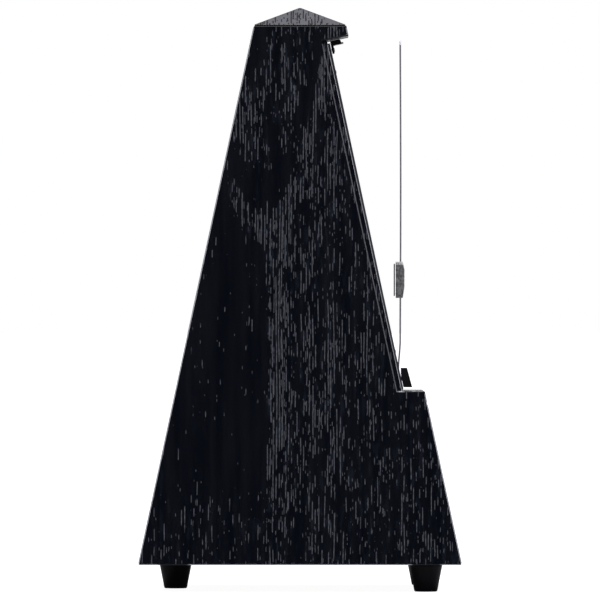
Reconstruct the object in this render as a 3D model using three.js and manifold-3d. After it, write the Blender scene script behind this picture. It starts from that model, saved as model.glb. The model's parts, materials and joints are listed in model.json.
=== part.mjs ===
// A wooden pyramid metronome, driven by clockwork, with its front cover off.
// Millimetres, +Z up. The front, where the pendulum swings, faces -Y, and the winding key is on the +X side.
// The origin is the centre of the base's underside, and the feet reach below it.

import * as THREE from 'three';
import { mergeVertices } from 'three/addons/utils/BufferGeometryUtils.js';
import Module from 'manifold-3d';

const wasm = await Module();
wasm.setup();

// ---- Driving dimensions ----

const GAP = 0.3;                  // clearance between pieces that rest on each other
const JOINT_GAP = 0.2;            // between glued pieces of the case

// The case is a square pyramid whose four walls lean in by the same angle.
const BASE_HALF = 59.5;
const EAVE_HEIGHT = 199;
const APEX_HEIGHT = 206;
const WALL_TILT = THREE.MathUtils.degToRad(12);
const WALL_THICKNESS = 5;
const BASE_THICKNESS = 6;
const UNDERSIDE_FIELD = 36;       // half width of the plain field in the middle of the underside
const FOOT_HEIGHT = 10;
const FOOT_TOP_RADIUS = 6.15;
const FOOT_SOLE_RADIUS = 4.2;
const FEET = [                    // [place, x, y]
  ['front_left', -46, -46.3],
  ['front_right', 46, -46.3],
  ['rear', 0, 46.3],
];
const APEX_HALF = 0.4;            // half width of the flat on top of the roof
const HEAD_BOTTOM = 182;          // lower end of the head block, inside the case

// The front is open between the ledge and the head, where the pendulum swings.
const LEDGE_HEIGHT = 63.6;
const LEDGE_THICKNESS = 4;
const LEDGE_BACK = -38.2;
const RECESS_DEPTH = 8.2;         // square to the front slope
const RECESS_TOP = 193.59;        // height of the recess's inner top corner
const REBATE_WIDTH = 1.9;
const REBATE_DEPTH = 1;
const BOARD_SETBACK = 0.4;        // scale board behind the front edges of the side panels
const BOARD_THICKNESS = 4;
const BOARD_BOTTOM = 62;
const SLOT_HALF = 5;              // slot that the pendulum passes through
const SLOT_TOP = 74.5;

// Scale plate. Places on it are measured along the front slope from the recess's inner top corner.
const PLATE_THICKNESS = 1;
const PLATE_FACE = -0.9;          // the plate's front face, out of the slope
const PLATE_TOP = -1.2;
const PLATE_BOTTOM = -(RECESS_TOP - LEDGE_HEIGHT - 0.4) / Math.cos(WALL_TILT);
const PLATE_TOP_HALF = 12;
const PLATE_BOTTOM_HALF = 16;
const PIN_RADIUS = 0.8;
const SCALE_PINS = [              // [place, x, along the slope]
  ['top_left', -9, -12],
  ['top_right', 9, -12],
  ['low_left', -12, -118],
  ['low_right', 12, -118],
];
const CATCH_HALF = 5;
const CATCH_LIP = 0.5;
const CATCH_SCREW = [3.2, -3.6];  // [x, along the slope]

// Bridge over the pivot
const BRIDGE_TOP = 72;
const BRIDGE_BOTTOM = 64.9;
const BRIDGE_SCREW_X = 7.4;
const BRIDGE_SCREW_HEIGHT = 67;

// Pendulum
const PIVOT_HEIGHT = 68.5;
const FLEX_HEIGHT = 86.5;         // the rod bends here when it is pushed back to be parked
const ROD_WIDTH = 3;
const ROD_THICKNESS = 0.6;
const ROD_TOP = 193.7;
const ROD_BOTTOM = 14;
const ROD_Y_LOW = -36.6;          // middle of the rod at the pivot
const ROD_Y_HIGH = -37.3;         // middle of the rod above the bend
const BOB_HEIGHT = 23;
const BOB_RADIUS = 11;
const BOB_FRONT = -43.2;
const BOB_BACK = -30;
const WEIGHT_BOTTOM = 98;
const WEIGHT_HEIGHT = 13.6;
const WEIGHT_TOP_HALF = 9.5;
const WEIGHT_BOTTOM_HALF = 6.5;
const WEIGHT_FRONT = -38.9;
const WEIGHT_BACK = -35.6;

// Movement
const PLATE_HALF_GAP = 11.5;      // from the middle to the inside of a frame plate
const FRAME_THICKNESS = 1.5;
const BARREL_AXIS = [0, 34];      // places in the movement are [y, z]
const ESCAPE_AXIS = [-19, 65.9];
const CLICK_PIVOT = [-11, 39];
const PILLARS = [[-18, 14], [18, 14], [20, 54], [-26, 53]];
const FRAME_SCREWS = [[-17.5, -11], [-17.5, 11], [17.5, -11], [17.5, 11]];   // [x, y]
const FRAME_SCREW_RADIUS = 1.2;
const PIVOT_RADIUS = 0.6;
const ARBOR_RADIUS = 1;
const BARREL_ARBOR_RADIUS = 2;
const BARREL_RADIUS = 14.5;
const BARREL_WALL = 1.2;
const KEY_HOLE_RADIUS = 6;
const GREAT_WHEEL = { teeth: 64, module: 0.6 };
const INTERMEDIATE_PINION = { teeth: 10, module: 0.6 };
const INTERMEDIATE_WHEEL = { teeth: 56, module: 0.5 };
const ESCAPE_PINION = { teeth: 8, module: 0.5 };
const CROWN_TEETH = 15;
const CROWN_RADIUS = 9;
const VERGE_RADIUS = 1.25;
const PALLET_REACH = 3.9;
const PALLET_ANGLE = THREE.MathUtils.degToRad(52);

const FINISHES = {
  wood: { color: 0x18181c, roughness: 0.55, metalness: 0 },
  plastic: { color: 0x101012, roughness: 0.45, metalness: 0 },
  rubber: { color: 0x141414, roughness: 0.8, metalness: 0 },
  steel: { color: 0x9c9ea2, roughness: 0.35, metalness: 1 },
  springSteel: { color: 0x5e6064, roughness: 0.4, metalness: 1 },
  castMetal: { color: 0xa6a6a4, roughness: 0.7, metalness: 0.6 },
  scale: { color: 0xb9babd, roughness: 0.4, metalness: 0.8 },
  brass: { color: 0xb58e42, roughness: 0.35, metalness: 1 },
  lead: { color: 0x55575c, roughness: 0.7, metalness: 0.7 },
};

const metronome = new THREE.Group();

// ---- Solids ----

/** A closed three.js geometry as a solid. */
function toSolid(geometry) {
  const plain = geometry.clone();
  for (const name of Object.keys(plain.attributes)) {
    if (name !== 'position') plain.deleteAttribute(name);
  }
  const merged = mergeVertices(plain);
  return new wasm.Manifold(new wasm.Mesh({
    numProp: 3,
    vertProperties: new Float32Array(merged.attributes.position.array),
    triVerts: new Uint32Array(merged.index.array),
  }));
}

/** A solid as a three.js geometry. */
function toGeometry(solid) {
  const { vertProperties, triVerts } = solid.getMesh();
  const geometry = new THREE.BufferGeometry();
  geometry.setAttribute('position', new THREE.BufferAttribute(vertProperties, 3));
  geometry.setIndex(new THREE.BufferAttribute(triVerts, 1));
  geometry.computeVertexNormals();
  return geometry;
}

/** Adds a sub-part to a group, with a material of its own. */
function add(name, solid, finish, parent = metronome) {
  const mesh = new THREE.Mesh(toGeometry(solid), new THREE.MeshStandardMaterial(FINISHES[finish]));
  mesh.name = name;
  parent.add(mesh);
}

/** Extrudes an outline of [u, v] points, with u, v and the extrusion laid along the three given axes. */
function prism(outline, u, v, along, start, end) {
  const points = outline.map(([x, y]) => new THREE.Vector2(x, y));
  const geometry = new THREE.ExtrudeGeometry(new THREE.Shape(points), {
    depth: end - start,
    bevelEnabled: false,
  });
  const place = new THREE.Matrix4().makeBasis(u, v, along);
  place.setPosition(along.clone().multiplyScalar(start));
  return toSolid(geometry.applyMatrix4(place));
}

const X = new THREE.Vector3(1, 0, 0);
const Y = new THREE.Vector3(0, 1, 0);
const Z = new THREE.Vector3(0, 0, 1);

/** A prism along X from an outline of [y, z] points. */
function prismX(outline, x0, x1) {
  return prism(outline, Y, Z, X, x0, x1);
}

/** A prism along Y from an outline of [x, z] points. */
function prismY(outline, y0, y1) {
  return prism(outline, X, Z, Y.clone().negate(), -y1, -y0);
}

/** A prism along Z from an outline of [x, y] points. */
function prismZ(outline, z0, z1) {
  return prism(outline, X, Y, Z, z0, z1);
}

function box(x0, x1, y0, y1, z0, z1) {
  return prismZ([[x0, y0], [x1, y0], [x1, y1], [x0, y1]], z0, z1);
}

/** A turned piece: profile is [radius, distance along the axis], from the axis back to the axis. */
function turned(profile, segments = 24) {
  const points = profile.map(([r, h]) => new THREE.Vector2(r, h));
  return new THREE.LatheGeometry(points, segments);
}

/** A turned piece along +X, at [y, z]. */
function turnedX(profile, [y, z], segments) {
  return toSolid(turned(profile, segments).rotateZ(-Math.PI / 2).translate(0, y, z));
}

/** A turned piece along +Y, at [x, z]. */
function turnedY(profile, [x, z], segments) {
  return toSolid(turned(profile, segments).translate(x, 0, z));
}

/** A turned piece along +Z, at [x, y]. */
function turnedZ(profile, [x, y], segments) {
  return toSolid(turned(profile, segments).rotateX(Math.PI / 2).translate(x, y, 0));
}

/** The profile of a plain cylinder. */
function bar(radius, start, end) {
  return [[0, start], [radius, start], [radius, end], [0, end]];
}

/** The profile of a screw: a shank, then a domed head at its far end. */
function screwProfile(shankRadius, headRadius, tip, seat, headHeight) {
  return [
    [0, tip], [shankRadius, tip], [shankRadius, seat], [headRadius, seat],
    [headRadius, seat + headHeight * 0.5], [headRadius * 0.6, seat + headHeight], [0, seat + headHeight],
  ];
}

/** The point at an angle and distance from a centre. */
function polar([u, v], radius, angle) {
  return [u + radius * Math.cos(angle), v + radius * Math.sin(angle)];
}

// ---- The case's own geometry ----

/** Half the width of the case at a height, on a surface set in from the outside, square to it. */
function halfWidth(height, inset = 0) {
  return BASE_HALF - height * Math.tan(WALL_TILT) - inset / Math.cos(WALL_TILT);
}

/** The point at a height on a surface set in from the outside of the front wall, as [y, z]. */
function onFront(inset, height) {
  return [-halfWidth(height, inset), height];
}

/** A square pyramid's frustum, its walls set in from the outside of the case. */
function frustum(inset, bottom, top) {
  const corner = Math.SQRT2;
  const geometry = new THREE.CylinderGeometry(
    halfWidth(top, inset) * corner, halfWidth(bottom, inset) * corner, top - bottom, 4, 1, false, Math.PI / 4,
  );
  return toSolid(geometry.rotateX(Math.PI / 2).translate(0, 0, (bottom + top) / 2));
}

/** The quarter of the space that lies towards -Y between the mitre planes, turned about Z. */
function mitreWedge(turn, gap) {
  const far = 2 * BASE_HALF;
  const tip = gap * Math.SQRT2;
  const wedge = prismZ([[0, -tip], [-far, -tip - far], [far, -tip - far]], -1, APEX_HEIGHT);
  return wedge.rotate([0, 0, turn]);
}

const outside = frustum(0, 0, EAVE_HEIGHT);
const inside = frustum(WALL_THICKNESS, -1, EAVE_HEIGHT + 1);
const insideFitted = frustum(WALL_THICKNESS + JOINT_GAP, 0, EAVE_HEIGHT);
const shell = outside.subtract(inside);

/** The outline of the open front, from the ledge up to the head's underside. */
function recessOutline(depth, ledge) {
  const [innerY, innerZ] = onFront(depth, RECESS_TOP);
  const reach = 40;
  const underside = [innerY - reach * Math.cos(WALL_TILT), innerZ + reach * Math.sin(WALL_TILT)];
  return [onFront(depth, ledge), onFront(-reach, ledge), underside, [innerY, innerZ]];
}

// ---- Case ----

function addSidePanels() {
  const far = 2 * BASE_HALF;
  const recess = prismX(recessOutline(RECESS_DEPTH, LEDGE_HEIGHT), -far, far);
  const rebateOutline = recessOutline(RECESS_DEPTH + REBATE_WIDTH, LEDGE_HEIGHT);
  const rebate = prismX(rebateOutline, -far, far).subtract(frustum(REBATE_DEPTH, -1, EAVE_HEIGHT + 1));
  for (const [name, turn] of [['side_panel_left', -90], ['side_panel_right', 90]]) {
    const panel = shell.intersect(mitreWedge(turn, 0)).subtract(recess).subtract(rebate);
    const keyHole = turnedX(bar(KEY_HOLE_RADIUS, 40, 60), BARREL_AXIS);
    add(name, panel.subtract(keyHole), 'wood');
  }
}

function addBackPanel() {
  add('back_panel', shell.intersect(mitreWedge(180, JOINT_GAP)), 'wood');
}

function addLowerFrontPanel() {
  const top = LEDGE_HEIGHT - LEDGE_THICKNESS - JOINT_GAP;
  const span = box(-BASE_HALF, BASE_HALF, -BASE_HALF, BASE_HALF, 0, top);
  add('lower_front_panel', shell.intersect(mitreWedge(0, JOINT_GAP)).intersect(span), 'wood');
}

/** The space between the side panels, with the front wall's own thickness as far as its mitres. */
function betweenSides() {
  return insideFitted.add(outside.intersect(mitreWedge(0, JOINT_GAP)));
}

function addLedgeBoard() {
  const bottom = LEDGE_HEIGHT - LEDGE_THICKNESS;
  const board = box(-BASE_HALF, BASE_HALF, -BASE_HALF, LEDGE_BACK, bottom, LEDGE_HEIGHT);
  add('ledge_board', board.intersect(betweenSides()), 'wood');
}

function addScaleBoard() {
  const face = RECESS_DEPTH + BOARD_SETBACK;
  const back = face + BOARD_THICKNESS;
  const top = RECESS_TOP - 1;
  const board = prismX([
    onFront(face, BOARD_BOTTOM), onFront(back, BOARD_BOTTOM), onFront(back, top - 1), onFront(face, top),
  ], -BASE_HALF, BASE_HALF);
  const slot = box(-SLOT_HALF, SLOT_HALF, -BASE_HALF, 0, 0, SLOT_TOP);
  add('scale_board', board.intersect(insideFitted).subtract(slot), 'wood');
}

function addHeadBlock() {
  const cornerHeight = RECESS_TOP + RECESS_DEPTH * Math.sin(WALL_TILT);
  const back = halfWidth(EAVE_HEIGHT, WALL_THICKNESS) - JOINT_GAP;
  const boardBack = RECESS_DEPTH + BOARD_SETBACK + BOARD_THICKNESS + JOINT_GAP;
  const block = prismX([
    onFront(0, cornerHeight),
    [-BASE_HALF, cornerHeight],
    [-BASE_HALF, EAVE_HEIGHT],
    [back, EAVE_HEIGHT],
    [back, HEAD_BOTTOM],
    onFront(boardBack, HEAD_BOTTOM),
    onFront(boardBack, RECESS_TOP - 0.9),
    onFront(RECESS_DEPTH, RECESS_TOP),
  ], -BASE_HALF, BASE_HALF);
  add('head_block', block.intersect(betweenSides()), 'wood');
}

/** A solid of square cross-section, from its half widths at some heights: [[half width, height], ...]. */
function squareLathe(halves) {
  const profile = halves.map(([half, height]) => [half * Math.SQRT2, height]);
  return toSolid(turned(profile, 4).rotateY(Math.PI / 4).rotateX(Math.PI / 2));
}

function addRoofCap() {
  const bottom = EAVE_HEIGHT + GAP;
  const halves = [[0, bottom], [halfWidth(EAVE_HEIGHT), bottom], [APEX_HALF, APEX_HEIGHT], [0, APEX_HEIGHT]];
  add('roof_cap', squareLathe(halves), 'wood');
}

/** The base board. Its underside has a plain square field in the middle, clear of the feet. */
function addBaseBoard() {
  const inset = WALL_THICKNESS + JOINT_GAP;
  const topHalf = halfWidth(BASE_THICKNESS, inset);
  let board = squareLathe([
    [0, 0], [UNDERSIDE_FIELD, 0], [halfWidth(0, inset), 0], [topHalf, BASE_THICKNESS], [0, BASE_THICKNESS],
  ]);
  for (const place of FRAME_SCREWS) {
    const hole = turnedZ(bar(FRAME_SCREW_RADIUS + 0.4, 1, BASE_THICKNESS + 1), place, 12);
    board = board.subtract(hole);
  }
  for (const [, x, y] of FEET) {
    const hole = turnedZ(bar(1.8, -1, 5), [x, y], 12);
    board = board.subtract(hole);
  }
  add('base_board', board, 'wood');
}

/** Tapered feet, each held by a screw that sits in a counterbore. */
function addFeet() {
  const floor = -FOOT_HEIGHT;
  const edge = 0.7;
  const coneProfile = [
    [0, floor], [FOOT_SOLE_RADIUS - edge, floor], [FOOT_SOLE_RADIUS, floor + edge],
    [FOOT_TOP_RADIUS, 0], [0, 0],
  ];
  const [bore, counterbore, seat] = [1.8, 2.9, -5];
  const holeProfile = [
    [0, floor - 1], [counterbore, floor - 1], [counterbore, seat],
    [bore, seat], [bore, 1], [0, 1],
  ];
  const screwSeat = seat - GAP;
  const screwEnd = 4.6;
  const screwOutline = [
    [0, -7.2], [1.6, -7.2], [2.6, -6.4], [2.6, screwSeat],
    [1.5, screwSeat], [1.5, screwEnd], [0, screwEnd],
  ];
  for (const [place, x, y] of FEET) {
    const cone = turnedZ(coneProfile, [x, y], 32);
    add(`foot_${place}`, cone.subtract(turnedZ(holeProfile, [x, y])), 'rubber');
    add(`foot_screw_${place}`, turnedZ(screwOutline, [x, y], 16), 'steel');
  }
}

// ---- Fittings on the front slope ----

// In this group +Z runs up the slope, -Y points out of it, and the origin is the recess's inner top corner.
const frontSlope = new THREE.Group();
frontSlope.rotation.x = -WALL_TILT;
frontSlope.position.set(0, ...onFront(RECESS_DEPTH, RECESS_TOP));
metronome.add(frontSlope);

function addScalePlate() {
  const slotTop = -(RECESS_TOP - SLOT_TOP) / Math.cos(WALL_TILT);
  let plate = prismY([
    [-PLATE_TOP_HALF, PLATE_TOP], [-PLATE_BOTTOM_HALF, PLATE_BOTTOM], [-SLOT_HALF, PLATE_BOTTOM],
    [-SLOT_HALF, slotTop], [SLOT_HALF, slotTop], [SLOT_HALF, PLATE_BOTTOM],
    [PLATE_BOTTOM_HALF, PLATE_BOTTOM], [PLATE_TOP_HALF, PLATE_TOP],
  ], PLATE_FACE, PLATE_FACE + PLATE_THICKNESS);
  for (const [, x, z] of SCALE_PINS) {
    const hole = turnedY(bar(PIN_RADIUS + GAP, PLATE_FACE - 1, 1), [x, z], 16);
    plate = plate.subtract(hole);
  }
  add('scale_plate', plate, 'scale', frontSlope);
}

/** Pins whose low domed heads lie in holes of the plate, on the scale board. */
function addScalePins() {
  const foot = BOARD_SETBACK - 0.2;
  const head = [
    [0, PLATE_FACE - 0.2], [0.5, PLATE_FACE - 0.15], [PIN_RADIUS, PLATE_FACE],
    [PIN_RADIUS, foot], [0, foot],
  ];
  for (const [place, x, z] of SCALE_PINS) {
    add(`scale_pin_${place}`, turnedY(head, [x, z], 12), 'steel', frontSlope);
  }
}

/** The plastic catch under the head: a forked tongue that takes the parked rod, and a flange on the scale. */
function addTopCatch() {
  const back = PLATE_FACE - GAP;
  const tongue = [
    [back, -0.3], [-4.6, -0.3], [-5.1, -0.8], [-5.1, -1.2],
    [-2.4, -1.2], [-2.4, -2.1], [back, -2.1],
  ];
  const lip = [[-2.4, -1.2], [-5.1, -1.2], [-5.1, -1.9], [-4.9, -2.1], [-2.4, -2.1]];
  const flange = [[back, -2.1], [-2.1, -2.1], [-1.9, -5], [back, -5]];
  let body = prismX(tongue, -CATCH_HALF, CATCH_HALF).add(prismX(flange, -CATCH_HALF, CATCH_HALF));
  for (const x of [-CATCH_HALF, CATCH_HALF - CATCH_LIP]) {
    body = body.add(prismX(lip, x, x + CATCH_LIP));
  }
  const notch = box(-1.9, 1.9, -6, -3, -3, 1);
  const seat = back - 0.4;
  const holeProfile = [[0, -6], [1.3, -6], [1.3, seat], [0.9, seat], [0.9, 1], [0, 1]];
  const screwHole = turnedY(holeProfile, CATCH_SCREW, 12);
  add('top_catch', body.subtract(notch).subtract(screwHole), 'plastic', frontSlope);
}

/** The small steel leaf between the lips of the catch's tongue, and the sunk screw that holds the catch. */
function addCatchLeafAndScrew() {
  const half = CATCH_HALF - CATCH_LIP - GAP;
  const leaf = prismX([[-2.7, -1.5], [-5.6, -1.5], [-5.9, -1.7], [-5.9, -2.1], [-2.7, -2.1]], -half, half);
  const notch = box(-1.7, 1.7, -7, -3.6, -3, 0);
  add('catch_leaf', leaf.subtract(notch), 'steel', frontSlope);
  const tip = PLATE_FACE - GAP + 0.1;
  const seat = PLATE_FACE - 2 * GAP - 0.4;
  const profile = [
    [0, seat - 0.4], [0.7, seat - 0.35], [1, seat - 0.1], [1, seat],
    [0.6, seat], [0.6, tip], [0, tip],
  ];
  add('catch_screw', turnedY(profile, CATCH_SCREW, 12), 'steel', frontSlope);
}

/** The bracket over the pivot, with a channel behind it for the rod and a sunk screw on each side. */
function addPendulumBridge() {
  const rear = -37.6;
  const plateInset = RECESS_DEPTH + PLATE_FACE - GAP;
  const rearMeetsPlate = (BASE_HALF - plateInset / Math.cos(WALL_TILT) + rear) / Math.tan(WALL_TILT);
  const [topHalf, bottomHalf] = [8, 10];
  const side = prismX([
    [-39.8, BRIDGE_TOP], [-41.7, BRIDGE_BOTTOM], onFront(plateInset, BRIDGE_BOTTOM),
    [rear, rearMeetsPlate], [rear, BRIDGE_TOP],
  ], -bottomHalf, bottomHalf);
  const front = prismY([
    [-topHalf, BRIDGE_TOP], [-bottomHalf, BRIDGE_BOTTOM], [bottomHalf, BRIDGE_BOTTOM], [topHalf, BRIDGE_TOP],
  ], -BASE_HALF, 0);
  const channel = box(-5.4, 5.4, -39.1, 0, 0, 100);
  const bearing = turnedY(bar(VERGE_RADIUS + 0.06, -42, -38), [0, PIVOT_HEIGHT]);
  let bridge = side.intersect(front).subtract(channel).subtract(bearing);
  const seat = -39.6;
  const holeProfile = [[0, -45], [1.9, -45], [1.9, seat], [1.1, seat], [1.1, -30], [0, -30]];
  const [headTop, headSeat, tip] = [-40.9, seat - GAP, -38.4];
  const screwOutline = [
    [0, headTop], [1.1, headTop + 0.1], [1.6, headTop + 0.6], [1.6, headSeat],
    [0.8, headSeat], [0.8, tip], [0, tip],
  ];
  for (const [place, x] of [['left', -BRIDGE_SCREW_X], ['right', BRIDGE_SCREW_X]]) {
    bridge = bridge.subtract(turnedY(holeProfile, [x, BRIDGE_SCREW_HEIGHT], 12));
    add(`bridge_screw_${place}`, turnedY(screwOutline, [x, BRIDGE_SCREW_HEIGHT], 12), 'steel');
  }
  add('pendulum_bridge', bridge, 'plastic');
}

// ---- Pendulum ----

/** The rod: a strip with a slight set above the pivot, in two lengths that meet where it bends. */
function addRod() {
  const half = ROD_THICKNESS / 2;
  const middle = [
    [ROD_Y_LOW, ROD_BOTTOM], [ROD_Y_LOW, PIVOT_HEIGHT + 2],
    [ROD_Y_HIGH, FLEX_HEIGHT - 4], [ROD_Y_HIGH, FLEX_HEIGHT - GAP / 2],
  ];
  const rear = middle.map(([y, z]) => [y + half, z]);
  const front = middle.map(([y, z]) => [y - half, z]);
  const lower = prismX([...rear, ...front.reverse()], -ROD_WIDTH / 2, ROD_WIDTH / 2);
  const eye = turnedY(bar(3.1, ROD_Y_LOW - half, ROD_Y_LOW + half), [0, PIVOT_HEIGHT]);
  const hole = turnedY(bar(VERGE_RADIUS + GAP, -40, -30), [0, PIVOT_HEIGHT]);
  add('rod_lower', lower.add(eye).subtract(hole), 'steel');
  const upper = prismY([
    [-ROD_WIDTH / 2, FLEX_HEIGHT + GAP / 2], [ROD_WIDTH / 2, FLEX_HEIGHT + GAP / 2],
    [ROD_WIDTH / 2, ROD_TOP - 1], [0.7, ROD_TOP], [-0.7, ROD_TOP], [-ROD_WIDTH / 2, ROD_TOP - 1],
  ], ROD_Y_HIGH - half, ROD_Y_HIGH + half);
  add('rod_upper', upper, 'steel');
}

/** A slot that lets the rod through, between two heights, with its middle at a place along Y. */
function rodSlot(y, bottom, top) {
  const half = ROD_WIDTH / 2 + GAP;
  const depth = ROD_THICKNESS / 2 + GAP;
  return box(-half, half, y - depth, y + depth, bottom, top);
}

/** The bob: a thick disc on the rod's lower end, with the screw that clamps it. */
function addBob() {
  const edge = 1.5;
  const disc = turnedY([
    [0, BOB_FRONT], [BOB_RADIUS - edge, BOB_FRONT], [BOB_RADIUS, BOB_FRONT + edge],
    [BOB_RADIUS, BOB_BACK - edge], [BOB_RADIUS - edge, BOB_BACK], [0, BOB_BACK],
  ], [0, BOB_HEIGHT], 32);
  const slot = rodSlot(ROD_Y_LOW, BOB_HEIGHT - BOB_RADIUS + 1.5, BOB_HEIGHT + BOB_RADIUS + 1);
  const screwHole = turnedY(bar(1.3, -45, ROD_Y_LOW - 0.6), [0, BOB_HEIGHT], 12);
  add('pendulum_bob', disc.subtract(slot).subtract(screwHole), 'lead');
  const [seat, tip] = [BOB_FRONT - GAP, -37.3];
  const profile = [[0, BOB_FRONT - 1.4], [2.4, BOB_FRONT - 1], [2.4, seat], [1, seat], [1, tip], [0, tip]];
  add('bob_screw', turnedY(profile, [0, BOB_HEIGHT], 12), 'steel');
}

/** The sliding weight: a flat casting, wider at the top, and the leaf spring that grips the rod. */
function addSlidingWeight() {
  const bottom = WEIGHT_BOTTOM;
  const top = bottom + WEIGHT_HEIGHT;
  const corner = 1.2;
  const rightSide = [
    [WEIGHT_BOTTOM_HALF - corner, bottom], [WEIGHT_BOTTOM_HALF, bottom + corner],
    [WEIGHT_TOP_HALF, top - corner], [WEIGHT_TOP_HALF - corner, top],
  ];
  const leftSide = rightSide.map(([x, z]) => [-x, z]).reverse();
  const block = prismY([...rightSide, ...leftSide], WEIGHT_FRONT, WEIGHT_BACK);
  const crown = prismX([
    [WEIGHT_FRONT + 0.7, top], [WEIGHT_FRONT, top - 3],
    [WEIGHT_FRONT, bottom + 4], [WEIGHT_FRONT + 0.6, bottom],
    [WEIGHT_BACK, bottom], [WEIGHT_BACK, top],
  ], -WEIGHT_TOP_HALF, WEIGHT_TOP_HALF);
  const slot = rodSlot(ROD_Y_HIGH, bottom - 1, top + 1);
  add('sliding_weight', block.intersect(crown).subtract(slot), 'castMetal');
  const [springHalf, springFront, springThickness] = [4.5, WEIGHT_BACK + GAP, 0.4];
  const springBack = springFront + springThickness;
  const spring = box(-springHalf, springHalf, springFront, springBack, bottom + 0.8, top - 0.8);
  add('weight_spring', spring, 'springSteel');
}

// ---- Winding key ----

/** A flanged bush in the right side panel, flush with the leaning wall inside and proud of it outside. */
function addKeyBush() {
  const proud = 1;
  const body = turnedX(bar(KEY_HOLE_RADIUS - GAP, 40, 60), BARREL_AXIS, 32);
  const flange = turnedX(bar(KEY_HOLE_RADIUS + 2, 40, 60), BARREL_AXIS, 32);
  const outer = frustum(-proud, 0, 80);
  const bodyShell = outer.subtract(frustum(WALL_THICKNESS, -1, 81));
  const flangeShell = outer.subtract(frustum(-GAP, -1, 81));
  const bush = body.intersect(bodyShell).add(flange.intersect(flangeShell));
  const bore = turnedX(bar(BARREL_ARBOR_RADIUS + GAP, 30, 70), BARREL_AXIS);
  add('key_bush', bush.subtract(bore), 'brass');
}

/** The key: a hub on the barrel arbor, with a flat wing of two round lobes. */
function addWindingKey() {
  const [y, z] = BARREL_AXIS;
  const hub = turnedX([[0, 54.6], [3.2, 54.6], [3.6, 55], [3.6, 59.5], [3, 60.5], [0, 60.5]], BARREL_AXIS);
  const half = 1.2;
  const [lobeRadius, lobeX, lobeY] = [5.6, 64.2, 6];
  let wing = box(58.5, 62.5, y - 5.5, y + 5.5, z - half, z + half);
  for (const side of [-1, 1]) {
    const lobe = turnedZ(bar(lobeRadius, z - half, z + half), [lobeX, y + side * lobeY], 32);
    wing = wing.add(lobe);
  }
  const bore = turnedX(bar(BARREL_ARBOR_RADIUS + 0.1, 50, 58.3), BARREL_AXIS);
  add('winding_key', hub.add(wing).subtract(bore), 'brass');
}

// ---- Movement ----

/** The centre of a gear that meshes with two others, on the given side of the line between them. */
function meshingCentre(first, firstDistance, second, secondDistance) {
  const span = Math.hypot(second[0] - first[0], second[1] - first[1]);
  const along = (firstDistance ** 2 - secondDistance ** 2 + span ** 2) / (2 * span);
  const aside = Math.sqrt(firstDistance ** 2 - along ** 2);
  const [u, v] = [(second[0] - first[0]) / span, (second[1] - first[1]) / span];
  return [first[0] + along * u + aside * v, first[1] + along * v - aside * u];
}

/** The distance between two meshed gears' centres. */
function meshDistance(a, b) {
  return (a.teeth + b.teeth) * a.module / 2;
}

const INTERMEDIATE_AXIS = meshingCentre(
  BARREL_AXIS, meshDistance(GREAT_WHEEL, INTERMEDIATE_PINION),
  ESCAPE_AXIS, meshDistance(INTERMEDIATE_WHEEL, ESCAPE_PINION),
);

function directionTo(from, to) {
  return Math.atan2(to[1] - from[1], to[0] - from[0]);
}

/** A gear's toothed disc along X. A tooth points at the given angle, and the teeth are thin, with play. */
function gear({ teeth, module }, centre, toothAngle, x0, x1, { tip = 0.9, root = 1.15, width = 0.36 } = {}) {
  const pitch = 2 * Math.PI / teeth;
  const radius = teeth * module / 2;
  const rootHalf = pitch * (width / 2 + 0.07);
  const tipHalf = pitch * (width / 2 - 0.09);
  const outline = [];
  for (let tooth = 0; tooth < teeth; tooth += 1) {
    const angle = toothAngle + tooth * pitch;
    outline.push(
      polar(centre, radius - root * module, angle - rootHalf),
      polar(centre, radius + tip * module, angle - tipHalf),
      polar(centre, radius + tip * module, angle + tipHalf),
      polar(centre, radius - root * module, angle + rootHalf),
    );
  }
  return prismX(outline, x0, x1);
}

/** An arbor between the frame plates, with a thinner pivot at each end. */
function arbor(centre) {
  const shoulder = PLATE_HALF_GAP - GAP;
  const end = PLATE_HALF_GAP + FRAME_THICKNESS + 0.4;
  return turnedX([
    [0, -end], [PIVOT_RADIUS, -end], [PIVOT_RADIUS, -shoulder], [ARBOR_RADIUS, -shoulder],
    [ARBOR_RADIUS, shoulder], [PIVOT_RADIUS, shoulder], [PIVOT_RADIUS, end], [0, end],
  ], centre, 12);
}

/** Two plates with feet turned outwards, which carry the arbors. */
function addFramePlates() {
  const foot = BASE_THICKNESS + GAP;
  const outline = [
    [-22, foot], [22, foot], [24.5, 56], [2, 72],
    [-24, 74], [-29.3, 62], [-29.5, 50], [-21, 40],
  ];
  const flangeTop = foot + FRAME_THICKNESS;
  const flange = [[-15, foot], [15, foot], [15, flangeTop], [-15, flangeTop]];
  const [inner, outer, flangeEnd] = [PLATE_HALF_GAP, PLATE_HALF_GAP + FRAME_THICKNESS, 22];
  const holes = [
    [BARREL_AXIS, BARREL_ARBOR_RADIUS + GAP],
    [INTERMEDIATE_AXIS, PIVOT_RADIUS + GAP],
    [ESCAPE_AXIS, PIVOT_RADIUS + GAP],
    [CLICK_PIVOT, 1.1],
    ...PILLARS.map((place) => [place, 1.3]),
  ];
  for (const [name, side] of [['frame_plate_left', -1], ['frame_plate_right', 1]]) {
    const span = (a, b) => [Math.min(side * a, side * b), Math.max(side * a, side * b)];
    let plate = prismX(outline, ...span(inner, outer)).add(prismX(flange, ...span(inner, flangeEnd)));
    for (const [place, radius] of holes) {
      plate = plate.subtract(turnedX(bar(radius, ...span(inner - 1, outer + 1)), place, 16));
    }
    for (const place of FRAME_SCREWS) {
      plate = plate.subtract(turnedZ(bar(FRAME_SCREW_RADIUS + 0.4, foot - 1, flangeTop + 1), place, 12));
    }
    add(name, plate, 'brass');
  }
}

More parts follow.
